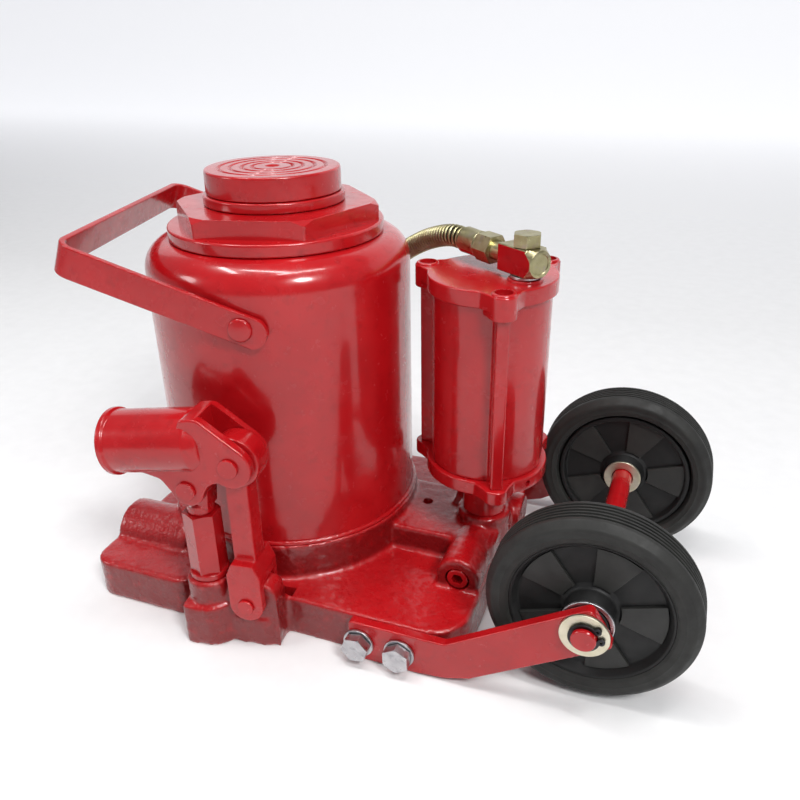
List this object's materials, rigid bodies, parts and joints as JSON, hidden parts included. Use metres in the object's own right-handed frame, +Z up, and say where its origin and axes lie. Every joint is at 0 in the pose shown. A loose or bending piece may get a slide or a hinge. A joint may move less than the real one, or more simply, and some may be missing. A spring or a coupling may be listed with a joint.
{
  "type": "hydraulic bottle jack",
  "caption": "Low hydraulic bottle jack with a hand pump, an air motor with its hose, a carrying bail and a pair of transport wheels.",
  "frame": {"origin": "on the floor, at the ram's axis, in the base casting's underside", "axes": "+Z up along the ram's axis, +X towards the transport wheels, -Y towards the hand pump"},
  "size_m": [0.5277, 0.4004, 0.285],
  "materials": {
    "red_casting": "gloss red enamel over a rough sand casting",
    "red_enamel": "gloss red enamel",
    "ground_steel": "ground and oiled steel",
    "bright_zinc": "bright zinc plate",
    "cast_alloy": "die cast, tumbled",
    "yellow_zinc": "yellow passivated zinc plate",
    "black_oxide": "black oxide",
    "tyre_rubber": "moulded solid rubber",
    "black_plastic": "moulded plastic",
    "hose_rubber": "smooth hose cover"
  },
  "bodies": {
    "jack": {"base_casting": "red_casting", "tank_shell": "red_enamel", "lift_cylinder": "ground_steel", "gland_nut": "red_enamel", "rod_wiper": "red_enamel", "filler_plug": "black_plastic", "bail_rivet_near": "red_enamel", "bail_rivet_far": "red_enamel", "pump_cylinder": "red_enamel", "gallery_plug": "red_enamel", "motor_neck": "red_enamel", "motor_bottom_cap": "red_enamel", "motor_barrel": "red_enamel", "motor_top_cap": "red_enamel", "tie_bolt_1": "red_enamel", "tie_bolt_2": "red_enamel", "tie_bolt_3": "red_enamel", "air_return_spring": "ground_steel", "elbow_block": "yellow_zinc", "banjo_bolt": "yellow_zinc", "banjo_washer": "bright_zinc", "hose_nut": "yellow_zinc", "hose_ferrule": "yellow_zinc", "spring_guard": "yellow_zinc", "air_hose": "hose_rubber", "air_hose_coil": "hose_rubber", "air_valve_body": "cast_alloy", "wheel_arm_near": "red_enamel", "wheel_arm_far": "red_enamel", "arm_bolt_near_1": "bright_zinc", "arm_bolt_near_2": "bright_zinc", "arm_bolt_far_1": "bright_zinc", "arm_bolt_far_2": "bright_zinc", "arm_washer_near_1": "bright_zinc", "arm_washer_near_2": "bright_zinc", "arm_washer_far_1": "bright_zinc", "arm_washer_far_2": "bright_zinc", "axle": "red_enamel", "axle_washer_near": "yellow_zinc", "axle_washer_far": "yellow_zinc", "axle_clip_near": "black_oxide", "axle_clip_far": "black_oxide", "inner_washer_near": "yellow_zinc", "inner_washer_far": "yellow_zinc", "link_pin_lower": "red_enamel"},
    "ram_and_saddle": {"ram": "ground_steel", "saddle": "red_enamel"},
    "carrying_bail": {"bail": "red_enamel"},
    "link": {"fulcrum_link": "red_enamel", "link_pin_upper": "red_enamel"},
    "handle": {"handle_socket": "red_enamel", "plunger_pin": "red_enamel"},
    "plunger": {"pump_plunger": "ground_steel"},
    "release_valve": {"release_valve_screw": "bright_zinc"},
    "wheel_near": {"tyre_near": "tyre_rubber", "hub_near": "black_plastic"},
    "wheel_far": {"tyre_far": "tyre_rubber", "hub_far": "black_plastic"},
    "air_motor_piston": {"air_piston": "ground_steel"},
    "valve_lever": {"air_valve_lever": "bright_zinc"}
  },
  "joints": [
    {"name": "ram_lift", "type": "slide", "parent": "jack", "child": "ram_and_saddle", "axis": [0, 0, 1], "range_m": [0, 0.15]},
    {"name": "bail_swing", "type": "hinge", "parent": "jack", "child": "carrying_bail", "pos_m": [0, 0, 0.2082], "axis": [-0.2317, 0.9728, 0], "range_deg": [-10, 100]},
    {"name": "handle_swing", "type": "hinge", "parent": "link", "child": "handle", "pos_m": [0.02368, -0.10991, 0.1358], "axis": [-0.1219, 0.9925, 0], "range_deg": [0, 32.5]},
    {"name": "link_sway", "type": "hinge", "parent": "jack", "child": "link", "pos_m": [0.02368, -0.10991, 0.0342], "axis": [-0.1219, 0.9925, 0], "range_deg": [0, 3.6]},
    {"name": "plunger_stroke", "type": "slide", "parent": "jack", "child": "plunger", "axis": [0, 0, 1], "range_m": [0, 0.021]},
    {"name": "release_valve_turn", "type": "hinge", "parent": "jack", "child": "release_valve", "pos_m": [-0.107, -0.062, 0.025], "axis": [-1, 0, 0], "range_deg": [0, 360]},
    {"name": "wheel_near_spin", "type": "hinge", "parent": "jack", "child": "wheel_near", "pos_m": [0.2326, -0.0794, 0.0636], "axis": [0, 1, 0], "continuous": true},
    {"name": "wheel_far_spin", "type": "hinge", "parent": "jack", "child": "wheel_far", "pos_m": [0.2326, 0.0794, 0.0636], "axis": [0, 1, 0], "continuous": true},
    {"name": "air_piston_stroke", "type": "slide", "parent": "jack", "child": "air_motor_piston", "axis": [0, 0, -1], "range_m": [0, 0.03], "stiffness_N_per_m": 800, "springref_m": -0.012, "deforming": ["air_return_spring"]},
    {"name": "valve_lever_squeeze", "type": "hinge", "parent": "jack", "child": "valve_lever", "pos_m": [-0.1755, 0.2497, 0.035], "axis": [0, -1, 0], "range_deg": [0, 12], "stiffness_Nm_per_rad": 0.4, "springref_deg": -17.19}
  ],
  "couplings": [
    {"joint": "link_sway", "follows": "handle_swing", "ratio": 0.108},
    {"joint": "plunger_stroke", "follows": "handle_swing", "m_per_rad": 0.036}
  ]
}
